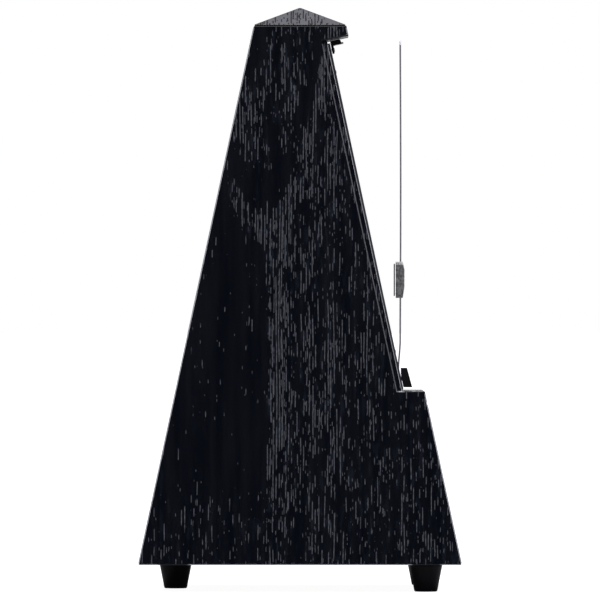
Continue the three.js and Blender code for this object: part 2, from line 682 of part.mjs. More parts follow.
/** The pillars that hold the frame plates apart, and the screws that hold the plates' feet down. */
function addFramePillarsAndScrews() {
  const shoulder = PLATE_HALF_GAP - GAP;
  const end = PLATE_HALF_GAP + FRAME_THICKNESS + 0.8;
  const profile = [
    [0, -end], [1, -end], [1, -shoulder], [2, -shoulder],
    [2, shoulder], [1, shoulder], [1, end], [0, end],
  ];
  PILLARS.forEach((place, i) => {
    add(`frame_pillar_${i + 1}`, turnedX(profile, place, 12), 'brass');
  });
  const seat = BASE_THICKNESS + FRAME_THICKNESS + 2 * GAP;
  const screwOutline = screwProfile(FRAME_SCREW_RADIUS, 2.5, 2, seat, 1.6);
  FRAME_SCREWS.forEach((place, i) => {
    add(`frame_screw_${i + 1}`, turnedZ(screwOutline, place, 12), 'steel');
  });
}

/** The spring barrel: an open drum whose floor carries the great wheel. */
function addBarrel() {
  const [x0, x1, floor] = [-9, 4.2, 2.8];
  const hollow = turnedX(bar(BARREL_RADIUS - BARREL_WALL, x0 - 1, floor), BARREL_AXIS, 40);
  const drum = turnedX(bar(BARREL_RADIUS, x0, x1), BARREL_AXIS, 40).subtract(hollow);
  const wheel = gear(GREAT_WHEEL, BARREL_AXIS, directionTo(BARREL_AXIS, INTERMEDIATE_AXIS), floor, x1);
  const bore = turnedX(bar(BARREL_ARBOR_RADIUS + GAP, x0 - 1, x1 + 1), BARREL_AXIS);
  add('spring_barrel', drum.add(wheel).subtract(bore), 'brass');
  const coverRadius = BARREL_RADIUS - BARREL_WALL - GAP;
  add('barrel_cover', turnedX(bar(coverRadius, x0 + 0.2, x0 + 1.2), BARREL_AXIS, 40).subtract(bore), 'brass');
  add('barrel_arbor', turnedX(bar(BARREL_ARBOR_RADIUS, -13.6, 58), BARREL_AXIS), 'steel');
}

/** The mainspring: a flat strip wound in a spiral inside the barrel. */
function addMainspring() {
  const [turns, perTurn, inner, outer, strip] = [5, 18, 3.4, 12.6, 0.5];
  const steps = turns * perTurn;
  const edge = (offset) => Array.from({ length: steps + 1 }, (_, i) => (
    polar(BARREL_AXIS, inner + (outer - inner) * i / steps + offset, 2 * Math.PI * i / perTurn)
  ));
  add('mainspring', prismX([...edge(0), ...edge(strip).reverse()], -7, 2), 'springSteel');
}

/** The ratchet wheel on the barrel arbor, the click that holds it, and the click's screw and spring. */
function addRatchet() {
  const [x0, x1] = [14, 15.4];
  const teeth = 12;
  const [tipRadius, rootRadius] = [8, 6.3];
  const firstTooth = THREE.MathUtils.degToRad(104);
  const toothLean = 0.03;
  const outline = [];
  for (let tooth = 0; tooth < teeth; tooth += 1) {
    const angle = firstTooth + tooth * 2 * Math.PI / teeth;
    outline.push(polar(BARREL_AXIS, tipRadius, angle));
    outline.push(polar(BARREL_AXIS, rootRadius, angle + toothLean));
  }
  const bore = turnedX(bar(BARREL_ARBOR_RADIUS + 0.1, x0 - 1, x1 + 1), BARREL_AXIS);
  add('ratchet_wheel', prismX(outline, x0, x1).subtract(bore), 'steel');

  const tip = polar(BARREL_AXIS, 7.9, THREE.MathUtils.degToRad(110));
  const [py, pz] = CLICK_PIVOT;
  const lever = prismX([
    [py, pz - 1.4], [tip[0], tip[1] - 0.45], [tip[0] + 0.3, tip[1] + 0.6], [py, pz + 2.4],
  ], x0, x1);
  const eye = turnedX(bar(2.4, x0, x1), CLICK_PIVOT);
  add('click', lever.add(eye).subtract(turnedX(bar(1.4, x0 - 1, x1 + 1), CLICK_PIVOT)), 'steel');
  const screw = screwProfile(0.9, 2.2, PLATE_HALF_GAP, x1 + GAP, 1);
  add('click_screw', turnedX(screw, CLICK_PIVOT, 12), 'steel');
  const spring = prismX([
    [-19, 40], [-18, 40], [-18, 44.6], [-12.6, 43.2], [-12.5, 43.6], [-19, 45.4],
  ], x0, x1);
  add('click_spring', spring, 'springSteel');
}

/** The intermediate and escape arbors, with their pinions, and the intermediate wheel. */
function addTrain() {
  const pinionPlay = { tip: 0.75, root: 1.3, width: 0.3 };
  const towardsBarrel = directionTo(INTERMEDIATE_AXIS, BARREL_AXIS);
  const towardsEscape = directionTo(INTERMEDIATE_AXIS, ESCAPE_AXIS);
  const bore = (centre) => turnedX(bar(ARBOR_RADIUS + GAP, -20, 20), centre, 12);
  const pinionGap = towardsBarrel + Math.PI / INTERMEDIATE_PINION.teeth;
  const intermediatePinion = gear(INTERMEDIATE_PINION, INTERMEDIATE_AXIS, pinionGap, 2.4, 5.4, pinionPlay);
  add('intermediate_pinion', arbor(INTERMEDIATE_AXIS).add(intermediatePinion), 'steel');
  const wheel = gear(INTERMEDIATE_WHEEL, INTERMEDIATE_AXIS, towardsEscape, 8, 9.2);
  add('intermediate_wheel', wheel.subtract(bore(INTERMEDIATE_AXIS)), 'brass');

  const towardsIntermediate = directionTo(ESCAPE_AXIS, INTERMEDIATE_AXIS);
  const escapeGap = towardsIntermediate + Math.PI / ESCAPE_PINION.teeth;
  const escapePinion = gear(ESCAPE_PINION, ESCAPE_AXIS, escapeGap, 7.2, 10, pinionPlay);
  add('escape_pinion', arbor(ESCAPE_AXIS).add(escapePinion), 'steel');
}

/** The crown wheel: a cup whose teeth point along +X at the verge. */
function addCrownWheel() {
  const [webStart, webEnd, toothRoot, toothTip] = [-8, -7, -5.4, -2.6];
  const cup = turnedX(bar(CROWN_RADIUS, webStart, toothTip), ESCAPE_AXIS, 45)
    .subtract(turnedX(bar(CROWN_RADIUS - 0.8, webEnd, 0), ESCAPE_AXIS, 45));
  const firstTooth = 17.7;
  let wheel = cup.subtract(turnedX(bar(ARBOR_RADIUS + GAP, -20, 20), ESCAPE_AXIS, 12));
  // Each gap between teeth is cut by a wedge that stands out from the wheel's axis along +Z.
  const [z0, z1] = [CROWN_RADIUS - 2, CROWN_RADIUS + 2];
  const cutter = prismZ([
    [toothRoot, -1.1], [toothTip + 1, -1.75], [toothTip + 1, 1.75], [toothRoot, 1.1],
  ], z0, z1);
  for (let tooth = 0; tooth < CROWN_TEETH; tooth += 1) {
    const turn = firstTooth + (tooth + 0.5) * 360 / CROWN_TEETH - 90;
    wheel = wheel.subtract(cutter.rotate([turn, 0, 0]).translate([0, ...ESCAPE_AXIS]));
  }
  add('crown_wheel', wheel, 'brass');
}

/** The verge: the pendulum's arbor, with a pallet on each side of the crown wheel's axis. */
function addVerge() {
  const centre = [0, PIVOT_HEIGHT];
  let verge = turnedY(bar(VERGE_RADIUS, -40, -4.2), centre);
  const palletHalf = 0.3;
  const palletPlace = 8.2;          // from the crown wheel's axis, along the verge
  for (const side of [-1, 1]) {
    const y = ESCAPE_AXIS[0] + side * palletPlace;
    const pallet = box(0, PALLET_REACH, y - 1.2, y + 1.2, -palletHalf, palletHalf);
    const turn = THREE.MathUtils.radToDeg(-Math.PI - side * PALLET_ANGLE);
    verge = verge.add(pallet.rotate([0, turn, 0]).translate([0, 0, PIVOT_HEIGHT]));
  }
  add('verge', verge, 'steel');
}

/** The brass collet behind the rod, and the cock that carries the verge's rear end. */
function addColletAndCock() {
  const centre = [0, PIVOT_HEIGHT];
  const bore = turnedY(bar(VERGE_RADIUS + GAP, -40, -30), centre);
  add('verge_collet', turnedY(bar(2.7, -35.9, -33.2), centre).subtract(bore), 'brass');
  const cock = box(-PLATE_HALF_GAP + GAP, 3, -7, -4.6, 66, 71);
  const bearing = turnedY(bar(VERGE_RADIUS + 0.06, -10, 0), centre);
  add('rear_cock', cock.subtract(bearing), 'brass');
}

addSidePanels();
addBackPanel();
addLowerFrontPanel();
addLedgeBoard();
addScaleBoard();
addHeadBlock();
addRoofCap();
addBaseBoard();
addFeet();
addScalePlate();
addScalePins();
addTopCatch();
addCatchLeafAndScrew();
addPendulumBridge();
addRod();
addBob();
addSlidingWeight();
addKeyBush();
addWindingKey();
addFramePlates();
addFramePillarsAndScrews();
addBarrel();
addMainspring();
addRatchet();
addTrain();
addCrownWheel();
addVerge();
addColletAndCock();

export default metronome;
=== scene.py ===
"""The looks of a wooden pyramid metronome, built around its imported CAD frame.

Metres, +Z up. The open front faces -Y, the winding key is on the +X side, and the floor is level with
the feet. Materials work in millimetres on the piece.
"""

import json
import math

import bmesh
import bpy
from mathutils import Matrix, Vector


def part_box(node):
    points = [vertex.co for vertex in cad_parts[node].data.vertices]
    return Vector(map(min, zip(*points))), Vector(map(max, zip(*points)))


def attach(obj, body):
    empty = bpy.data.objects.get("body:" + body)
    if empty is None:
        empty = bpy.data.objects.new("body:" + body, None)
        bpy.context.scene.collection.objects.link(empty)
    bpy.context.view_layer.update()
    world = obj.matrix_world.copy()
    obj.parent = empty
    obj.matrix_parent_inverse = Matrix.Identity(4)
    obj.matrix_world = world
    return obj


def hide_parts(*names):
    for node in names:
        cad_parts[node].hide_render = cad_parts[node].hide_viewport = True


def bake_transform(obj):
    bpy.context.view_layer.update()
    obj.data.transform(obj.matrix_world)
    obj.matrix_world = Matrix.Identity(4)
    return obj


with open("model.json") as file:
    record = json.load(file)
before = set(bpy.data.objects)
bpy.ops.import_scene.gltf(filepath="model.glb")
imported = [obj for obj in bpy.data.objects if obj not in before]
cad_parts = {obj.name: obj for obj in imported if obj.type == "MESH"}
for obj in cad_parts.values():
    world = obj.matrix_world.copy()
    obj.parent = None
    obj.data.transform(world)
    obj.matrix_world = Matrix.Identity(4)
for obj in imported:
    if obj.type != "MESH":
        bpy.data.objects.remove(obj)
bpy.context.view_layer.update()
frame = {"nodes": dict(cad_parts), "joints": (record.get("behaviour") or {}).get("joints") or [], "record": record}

MM = 0.001
WALL_TILT = math.radians(12)      # how far each wall of the case leans in
BEVEL_ANGLE = math.radians(25)    # sharper edges than this are rounded

# The case, in millimetres. Depths are square to the front slope.
BASE_HALF = 59.5
LEDGE_HEIGHT = 63.6
HEAD_UNDERSIDE = 192.4
EAVE_HEIGHT = 199.0
RECESS_DEPTH = 8.2
REBATE_DEPTH = 10.1
FOOT_PLACE = 46.3
FOOT_TOP_RADIUS = 6.15

PRINT_THICKNESS = 0.015           # of the scale's ink, in millimetres

RECORD = frame["record"]
BODY_OF = {node: body for body, nodes in RECORD["behaviour"]["bodies"].items() for node in nodes}
SLOT_OF = {row["node"]: row["material_slot"] for row in RECORD["subparts"]}


# ---- Camera, floor and light ----

def add_camera():
    """A long lens square to the left side panel, a little below the middle of the case."""
    distance, height, focal_length = 4.0, 0.0973, 644.6
    data = bpy.data.cameras.new("camera")
    data.lens = focal_length
    data.sensor_width = 36
    data.clip_end = 40
    camera = bpy.data.objects.new("camera", data)
    camera.location = (-distance, 0, height)
    camera.rotation_euler = (math.pi / 2, 0, -math.pi / 2)
    bpy.context.collection.objects.link(camera)
    bpy.context.scene.camera = camera


def add_floor():
    """A pale floor under the feet, wide enough to meet the white background."""
    half = 30
    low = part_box("foot_rear")[0].z
    mesh = bpy.data.meshes.new("floor")
    corners = [(-half, -half, low), (half, -half, low), (half, half, low), (-half, half, low)]
    mesh.from_pydata(corners, [], [(0, 1, 2, 3)])
    floor = bpy.data.objects.new("floor", mesh)
    bpy.context.collection.objects.link(floor)
    floor.data.materials.append(pale_floor())


def add_area_light(name, place, aim, size, power):
    data = bpy.data.lights.new(name, "AREA")
    data.shape = "DISK"
    data.size = size
    data.energy = power
    light = bpy.data.objects.new(name, data)
    light.location = place
    light.rotation_euler = (Vector(aim) - Vector(place)).to_track_quat("-Z", "Y").to_euler()
    bpy.context.collection.objects.link(light)


def add_lights():
    """Soft light from overhead, dim low down, so that black walls stay black and the roof shines.

    The camera sees a white background. Reflections see the studio's own light.
    """
    middle = (0, 0, 0.1)
    add_area_light("overhead", (0.2, -0.1, 1.5), middle, 1.2, 7)

    world = bpy.data.worlds.new("studio")
    bpy.context.scene.world = world
    world.use_nodes = True
    tree = Tree(world.node_tree)
    tree.clear()
    direction = tree.separate(tree.add("ShaderNodeTexCoord").outputs["Generated"])
    dim, bright = rgb(0.022, 0.03, 0.055), rgb(1.25, 1.23, 1.4)
    glow = tree.ramp(direction[2], [(0.0, dim), (0.54, dim), (0.67, bright), (1.0, grey(1.3))])
    # A narrow white card far off on the right, level with the case, that its flat tops mirror.
    level_with_case = tree.smooth(tree.math("ABSOLUTE", direction[2]), 0.13, 0.08)
    card = tree.math("MULTIPLY", tree.smooth(direction[0], 0.95, 0.98), level_with_case)
    glow = tree.mix(card, glow, grey(1.0))
    studio = tree.add("ShaderNodeBackground", Color=glow, Strength=1.0)
    white = tree.add("ShaderNodeBackground", Color=grey(1.0), Strength=1.0)
    seen = tree.add("ShaderNodeLightPath").outputs["Is Camera Ray"]
    both = tree.add("ShaderNodeMixShader", Fac=seen)
    tree.link(studio.outputs[0], both.inputs[1])
    tree.link(white.outputs[0], both.inputs[2])
    output = tree.add("ShaderNodeOutputWorld")
    tree.link(both.outputs[0], output.inputs["Surface"])


# ---- Node trees ----

def grey(value):
    return (value, value, value, 1)


def rgb(red, green, blue):
    return (red, green, blue, 1)


class Tree:
    """A node tree, with short ways to add and link nodes."""

    def __init__(self, node_tree):
        self.nodes = node_tree.nodes
        self.links = node_tree.links

    def clear(self):
        self.nodes.clear()

    def link(self, source, target):
        self.links.new(source, target)

    def set(self, socket, value):
        """Gives an input a value, or links it to another node's output."""
        if isinstance(value, bpy.types.NodeSocket):
            self.link(value, socket)
        else:
            socket.default_value = value

    def add(self, kind, **inputs):
        node = self.nodes.new(kind)
        for name, value in inputs.items():
            self.set(node.inputs[name.replace("_", " ")], value)
        return node

    def math(self, operation, *values, clamp=False):
        node = self.nodes.new("ShaderNodeMath")
        node.operation = operation
        node.use_clamp = clamp
        for socket, value in zip(node.inputs, values):
            self.set(socket, value)
        return node.outputs[0]

    def separate(self, vector):
        node = self.add("ShaderNodeSeparateXYZ", Vector=vector)
        return node.outputs

    def combine(self, x, y, z=0.0):
        return self.add("ShaderNodeCombineXYZ", X=x, Y=y, Z=z).outputs[0]

    def scale(self, vector, factors):
        node = self.nodes.new("ShaderNodeVectorMath")
        node.operation = "MULTIPLY"
        self.set(node.inputs[0], vector)
        self.set(node.inputs[1], factors)
        return node.outputs[0]

    def length(self, vector):
        node = self.nodes.new("ShaderNodeVectorMath")
        node.operation = "LENGTH"
        self.set(node.inputs[0], vector)
        return node.outputs["Value"]

    def mix(self, factor, first, second):
        """A colour between two others."""
        node = self.nodes.new("ShaderNodeMix")
        node.data_type = "RGBA"
        self.set(node.inputs["Factor"], factor)
        self.set(node.inputs[6], first)
        self.set(node.inputs[7], second)
        return node.outputs[2]

    def blend(self, factor, first, second):
        """A number between two others."""
        node = self.nodes.new("ShaderNodeMix")
        self.set(node.inputs["Factor"], factor)
        self.set(node.inputs[2], first)
        self.set(node.inputs[3], second)
        return node.outputs[0]

    def ramp(self, factor, stops):
        """A colour ramp from (position, colour) stops."""
        node = self.add("ShaderNodeValToRGB", Fac=factor)
        elements = node.color_ramp.elements
        while len(elements) < len(stops):
            elements.new(0.5)
        for element, (position, colour) in zip(elements, stops):
            element.position = position
            element.color = colour
        return node.outputs[0]

    def smooth(self, value, low, high, start=0.0, end=1.0):
        """Runs smoothly from start to end as value goes from low to high."""
        node = self.nodes.new("ShaderNodeMapRange")
        node.interpolation_type = "SMOOTHSTEP"
        for socket, number in zip(node.inputs, (value, low, high, start, end)):
            self.set(socket, number)
        return node.outputs[0]

    def ramp_between(self, value, low, high, start=0.0, end=1.0):
        """Runs evenly from start to end as value goes from low to high, and stays there beyond."""
        node = self.nodes.new("ShaderNodeMapRange")
        for socket, number in zip(node.inputs, (value, low, high, start, end)):
            self.set(socket, number)
        return node.outputs[0]

    def noise(self, vector, scale=1.0, detail=2.0, roughness=0.5):
        node = self.add(
            "ShaderNodeTexNoise", Vector=vector, Scale=scale, Detail=detail, Roughness=roughness,
        )
        return node.outputs[0]

    def bump(self, height, depth, strength=1.0):
        return self.add("ShaderNodeBump", Height=height, Distance=depth, Strength=strength).outputs[0]

    def sideways(self):
        """How squarely the surface faces left or right, from 0 to 1."""
        normal = self.add("ShaderNodeTexCoord").outputs["Normal"]
        return self.math("ABSOLUTE", self.separate(normal)[0])

    def millimetres(self):
        """Places on the piece, in millimetres."""
        place = self.add("ShaderNodeTexCoord").outputs["Object"]
        return self.scale(place, (1 / MM, 1 / MM, 1 / MM))


def new_material(name):
    """A material with one Principled shader, and its tree."""
    material = bpy.data.materials.new(name)
    material.use_nodes = True
    tree = Tree(material.node_tree)
    shader = tree.nodes["Principled BSDF"]
    return material, tree, shader


# ---- Materials ----

# Pore tones of one wood: pale for the walls, where the pale tone is partly the pores' own colour and partly a
# painted glint, and dark for the roof.
PALE_PORES = (rgb(0.060, 0.066, 0.080), rgb(0.150, 0.157, 0.176))
DARK_PORES = (rgb(0.002, 0.002, 0.004), rgb(0.006, 0.006, 0.008))


def pale_floor():
    """A floor that looks white to the camera, but is dim in reflections, so that glossy walls stay dark."""
    material, tree, shader = new_material("pale_floor")
    place = tree.add("ShaderNodeTexCoord").outputs["Object"]
    mottle = tree.noise(place, scale=6)
    tree.set(shader.inputs["Base Color"], tree.mix(mottle, grey(0.34), grey(0.38)))
    shader.inputs["Roughness"].default_value = 0.9
    shader.inputs["Emission Color"].default_value = grey(1)
    seen = tree.add("ShaderNodeLightPath").outputs["Is Camera Ray"]
    tree.set(shader.inputs["Emission Strength"], tree.math("MULTIPLY_ADD", seen, 0.90, 0.06))
    return material


def along_grain(tree, across, along, width, length, seed=0.0):
    """A place for a noise whose spots are about so many millimetres wide and long."""
    return tree.combine(tree.math("DIVIDE", across, width), tree.math("DIVIDE", along, length), seed)


def veneer_density(tree, across, along):
    """How thickly the pores lie, from 0 to 1, at a place across and along the grain in millimetres.

    The board is flat-sawn: growth bands run up it, and a tongue of them comes down from the top to a
    rounded point, with a calm band just inside its edge and a thick one just outside.
    """
    tongue_middle, tongue_point, tongue_spread = 14.0, 129.0, 0.122
    aside = tree.math("SUBTRACT", across, tongue_middle)
    rise = tree.math("MULTIPLY", tree.math("MULTIPLY", aside, aside), tongue_spread)
    above = tree.math("SUBTRACT", tree.math("SUBTRACT", along, tongue_point), rise)

    board_half = 60.0
    bands = tree.ramp(tree.ramp_between(across, -board_half, board_half), [
        (0.00, grey(0.40)), (0.20, grey(0.36)), (0.30, grey(0.46)), (0.36, grey(0.36)), (0.41, grey(0.62)),
        (0.44, grey(0.36)), (0.47, grey(0.60)), (0.51, grey(0.42)), (0.55, grey(0.80)), (0.59, grey(0.70)),
        (0.61, grey(0.06)), (0.78, grey(0.02)), (0.82, grey(0.16)), (0.86, grey(0.05)), (0.93, grey(0.20)),
        (1.00, grey(0.26)),
    ])
    tongue = tree.ramp(tree.ramp_between(above, -12, 60), [
        (0.00, grey(0.58)), (0.15, grey(0.74)), (0.20, grey(0.08)), (0.34, grey(0.10)), (0.46, grey(0.50)),
        (0.85, grey(0.48)), (1.00, grey(0.40)),
    ])
    figure = tree.blend(tree.smooth(above, -13, -9), bands, tongue)

    # A calm corner at the top, and short even pores near the foot of the board.
    corner_across, corner_along = 20.0, 198.0
    to_corner = tree.combine(
        tree.math("MULTIPLY_ADD", across, 1 / 10, -corner_across / 10),
        tree.math("MULTIPLY_ADD", along, 1 / 17, -corner_along / 17),
    )
    corner = tree.smooth(tree.length(to_corner), 0.75, 1.1)
    foot = tree.smooth(along, 32, 14, 0.0, 0.75)
    figure = tree.blend(foot, tree.math("MULTIPLY", figure, corner), 0.36)
    patches = tree.noise(along_grain(tree, across, along, 6, 22), detail=3)
    return tree.math("MULTIPLY", figure, tree.smooth(patches, 0.3, 0.7, 0.6, 1.4))


def pore_rows(tree, across, along, density, pitch, run, seed):
    """Pores in rows along the grain: each row is a thin line that is broken where the density is low.

    pitch is the rows' spacing and run is about as long as a pore is, both in millimetres.
    """
    place = tree.math("DIVIDE", across, pitch)
    row = tree.math("FLOOR", place)
    sway_place = tree.combine(tree.math("MULTIPLY", row, 3.17), tree.math("DIVIDE", along, 40), seed)
    sway = tree.noise(sway_place, detail=1)
    aside = tree.math("SUBTRACT", tree.math("FRACT", place), tree.smooth(sway, 0.3, 0.7, 0.3, 0.7))
    line = tree.smooth(tree.math("ABSOLUTE", aside), 0.2, 0.1)
    length = tree.combine(tree.math("MULTIPLY", row, 7.31), tree.math("DIVIDE", along, run), seed)
    value = tree.noise(length, detail=1.5, roughness=0.6)
    limit = tree.ramp_between(density, 0.0, 0.8, 0.70, 0.42)
    broken = tree.smooth(tree.math("SUBTRACT", value, limit), -0.01, 0.04)
    return tree.math("MULTIPLY", line, broken)


def black_wood(name, across_axis, along_axis, shift, mirror, pore_tones, pore_depth):
    """Open-pored veneer stained black: nearly black wood with broken pores of another tone up the grain.

    The grain's axes are the board's, so on its narrow faces the pores may run across.
    """
    material, tree, shader = new_material(name)
    place = tree.millimetres()
    axes = dict(zip("XYZ", tree.separate(place)))
    across = tree.math("MULTIPLY_ADD", axes[across_axis], -1.0 if mirror else 1.0, shift[0])
    along = tree.math("ADD", axes[along_axis], shift[1])
    density = veneer_density(tree, across, along)

    wander = tree.noise(along_grain(tree, across, along, 30, 45), detail=3)
    waved = tree.math("MULTIPLY_ADD", wander, 1.5, across)
    long_pores = pore_rows(tree, waved, along, density, pitch=1.12, run=7.0, seed=3.7)
    thinner = tree.math("MULTIPLY", density, 0.72)
    short_pores = pore_rows(tree, waved, along, thinner, pitch=0.90, run=3.6, seed=9.1)
    pores = tree.math("MAXIMUM", long_pores, tree.math("MULTIPLY", short_pores, 0.8))

    drift = tree.noise(along_grain(tree, waved, along, 1.7, 9), detail=3)
    haze = tree.math("MULTIPLY", tree.smooth(drift, 0.5, 0.68), density)
    tone = tree.noise(along_grain(tree, waved, along, 4, 60), detail=4)
    wood = tree.mix(tone, rgb(0.0012, 0.0018, 0.0040), rgb(0.0030, 0.0040, 0.0072))
    wood = tree.mix(tree.math("MULTIPLY", haze, 1.1, clamp=True), wood, rgb(0.020, 0.024, 0.034))
    fleck = tree.noise(along_grain(tree, waved, along, 0.6, 1.4, seed=5.0), detail=2)
    pore_colour = tree.mix(tree.smooth(fleck, 0.35, 0.65), *pore_tones)
    tree.set(shader.inputs["Base Color"], tree.mix(pores, wood, pore_colour))
    tree.set(shader.inputs["Roughness"], tree.blend(pores, tree.smooth(tone, 0.3, 0.7, 0.17, 0.25), 0.8))
    ripple = tree.noise(along_grain(tree, waved, along, 1.3, 30), detail=2)
    height = tree.math("MULTIPLY_ADD", pores, -1.0, tree.math("MULTIPLY", ripple, 0.35))
    tree.set(shader.inputs["Normal"], tree.bump(height, pore_depth * MM))
    return material


def near(tree, value, middle, reach):
    """1 where the value is close to the middle, falling to 0 at the reach."""
    distance = tree.math("ABSOLUTE", tree.math("SUBTRACT", value, middle))
    return tree.smooth(distance, reach, reach * 0.7)


def rubbed_edge(name, highlight_strength):
    """The narrow rounded edge of a stained board.

    It carries a painted highlight where it faces left or right, and painted shade under the head, on the ledge,
    below the roof, over the feet and along the rebate's inner line. The last argument is how pale the painted
    highlight gets, from 0 to 1.
    """
    material, tree, shader = new_material(name)
    place = tree.millimetres()
    _, y, z = tree.separate(place)
    foot_reach = 6.5
    behind = tree.math("MULTIPLY", tree.math("ADD", y, BASE_HALF), math.cos(WALL_TILT))
    depth = tree.math("MULTIPLY_ADD", z, -math.sin(WALL_TILT), behind)

    # Painted shade: masks that darken the edge under the head, on the ledge, below the roof, over the feet and,
    # partly, along the rebate's inner line.
    front = tree.smooth(depth, REBATE_DEPTH + 1.2, REBATE_DEPTH + 0.6)
    below_corner = tree.smooth(depth, 0.5, 1.0)
    shade_under_head = tree.math("MULTIPLY", tree.smooth(z, HEAD_UNDERSIDE - 1, HEAD_UNDERSIDE), front)
    shade_under_head = tree.math("MULTIPLY", shade_under_head, below_corner)
    before_recess = tree.smooth(depth, RECESS_DEPTH - 0.5, RECESS_DEPTH - 1.0)
    shade_on_ledge = tree.math("MULTIPLY", near(tree, z, LEDGE_HEIGHT, 1.0), before_recess)
    by_foot = near(tree, tree.math("ABSOLUTE", y), FOOT_PLACE, foot_reach)
    shade_over_foot = tree.math("MULTIPLY", near(tree, z, 0, 1.0), by_foot)
    # Painted shade: the darkened places taken together.
    dark = tree.math("MAXIMUM", shade_under_head, shade_on_ledge)
    dark = tree.math("MAXIMUM", dark, near(tree, z, EAVE_HEIGHT, 1.0))
    dark = tree.math("MAXIMUM", dark, shade_over_foot)
    shade_along_rebate = tree.math("MULTIPLY", near(tree, depth, REBATE_DEPTH, 0.8), 0.72)
    # Painted highlight: the edge is made pale where it faces left or right, less so on the faintly lit boards.
    sideways_highlight = tree.smooth(tree.sideways(), 0.5, 0.7, highlight_strength * 0.25, highlight_strength)
    # How much painted highlight shows once the painted shade is taken off.
    shown = tree.math("MULTIPLY", tree.math("SUBTRACT", 1.0, tree.math("MAXIMUM", dark, shade_along_rebate)), sideways_highlight)

    # A noise that mottles the painted highlight's colour and its roughness.
    wear_and_highlight_mottle = tree.noise(place, scale=0.6, detail=4)
    pale = tree.mix(wear_and_highlight_mottle, rgb(0.84, 0.85, 0.89), rgb(0.98, 0.98, 1.0))
    tree.set(shader.inputs["Base Color"], tree.mix(shown, rgb(0.002, 0.003, 0.005), pale))
    tree.set(shader.inputs["Roughness"], tree.smooth(wear_and_highlight_mottle, 0.3, 0.7, 0.25, 0.45))
    return material


def fibreboard():
    """Plain brown board with fine pressed fibres."""
    material, tree, shader = new_material("fibreboard")
    place = tree.millimetres()
    fibres = tree.noise(place, scale=1.8, detail=6, roughness=0.7)
    clouds = tree.noise(place, scale=0.08, detail=3)
    tone = tree.mix(fibres, rgb(0.10, 0.065, 0.04), rgb(0.27, 0.19, 0.12))
    clouded = tree.mix(tree.math("MULTIPLY", clouds, 0.4), tone, rgb(0.16, 0.11, 0.07))
    tree.set(shader.inputs["Base Color"], clouded)
    shader.inputs["Roughness"].default_value = 0.8
    tree.set(shader.inputs["Normal"], tree.bump(fibres, 0.06 * MM))
    return material


def moulded_black(name, colour, roughness, grain, depth, specular):
    """Black moulded plastic or rubber with a fine spark-eroded grain."""
    material, tree, shader = new_material(name)
    place = tree.millimetres()
    texture = tree.noise(place, scale=grain, detail=4, roughness=0.65)
    cloud = tree.noise(place, scale=0.25, detail=3)
    darker = tuple(channel * 0.6 for channel in colour)
    tree.set(shader.inputs["Base Color"], tree.mix(cloud, rgb(*darker), rgb(*colour)))
    tree.set(shader.inputs["Roughness"], tree.smooth(cloud, 0.25, 0.75, roughness - 0.06, roughness + 0.08))
    tree.set(shader.inputs["Normal"], tree.bump(texture, depth * MM, 0.6))
    shader.inputs["Specular IOR Level"].default_value = specular
    return material


def drawn_steel(name, dark, light, roughness, stretch):
    """Steel with fine marks. stretch is the marks' scale along X, Y and Z, per millimetre."""
    material, tree, shader = new_material(name)
    place = tree.millimetres()
    marks = tree.noise(tree.scale(place, stretch), detail=5, roughness=0.6)
    stain = tree.noise(place, scale=0.35, detail=4)
    metal = tree.mix(marks, rgb(*dark), rgb(*light))
    tree.set(shader.inputs["Base Color"], tree.mix(tree.smooth(stain, 0.55, 0.8, 0, 0.4), metal, rgb(*dark)))
    tree.set(shader.inputs["Roughness"], tree.smooth(marks, 0.2, 0.8, roughness - 0.08, roughness + 0.12))
    tree.set(shader.inputs["Normal"], tree.bump(marks, 0.01 * MM, 0.4))
    shader.inputs["Metallic"].default_value = 1
    return material


def cast_metal(name, dark, light, depth):
    """Rough sand-cast metal: a pitted, mottled skin."""
    material, tree, shader = new_material(name)
    place = tree.millimetres()
    grit = tree.noise(place, scale=1.7, detail=6, roughness=0.7)
    pits = tree.add("ShaderNodeTexVoronoi", Vector=place, Scale=1.1).outputs["Distance"]
    mottle = tree.noise(place, scale=0.8, detail=4, roughness=0.65)
    tone = tree.smooth(mottle, 0.35, 0.65)
    colour = tree.mix(tone, rgb(*dark), rgb(*light))
    shade = tree.smooth(pits, 0.0, 0.35, 0.55, 1.0)
    tree.set(shader.inputs["Base Color"], tree.mix(shade, rgb(*(channel * 0.35 for channel in dark)), colour))
    tree.set(shader.inputs["Roughness"], tree.smooth(grit, 0.3, 0.7, 0.5, 0.8))
    height = tree.math("ADD", grit, tree.math("MULTIPLY", pits, 0.8))
    tree.set(shader.inputs["Normal"], tree.bump(height, depth * MM))
    shader.inputs["Metallic"].default_value = 0.6
    return material


def satin_scale():
    """The scale plate's satin metal, with fine marks along its length and painted shade on the edges that face
    left or right.
    """
    material, tree, shader = new_material("satin_scale")
    place = tree.millimetres()
    marks = tree.noise(tree.scale(place, (6.0, 6.0, 0.12)), detail=4, roughness=0.6)
    smears = tree.noise(place, scale=0.05, detail=3)
    face = tree.mix(marks, rgb(0.42, 0.42, 0.425), rgb(0.60, 0.60, 0.595))
    # Painted shade: the plate's faces that look left or right are darkened.
    side_edge_shade = tree.smooth(tree.sideways(), 0.4, 0.8)
    tree.set(shader.inputs["Base Color"], tree.mix(side_edge_shade, face, tree.mix(marks, grey(0.14), grey(0.26))))
    tree.set(shader.inputs["Roughness"], tree.smooth(smears, 0.3, 0.7, 0.28, 0.42))
    tree.set(shader.inputs["Normal"], tree.bump(marks, 0.01 * MM, 0.5))
    shader.inputs["Metallic"].default_value = 0.8
    return material


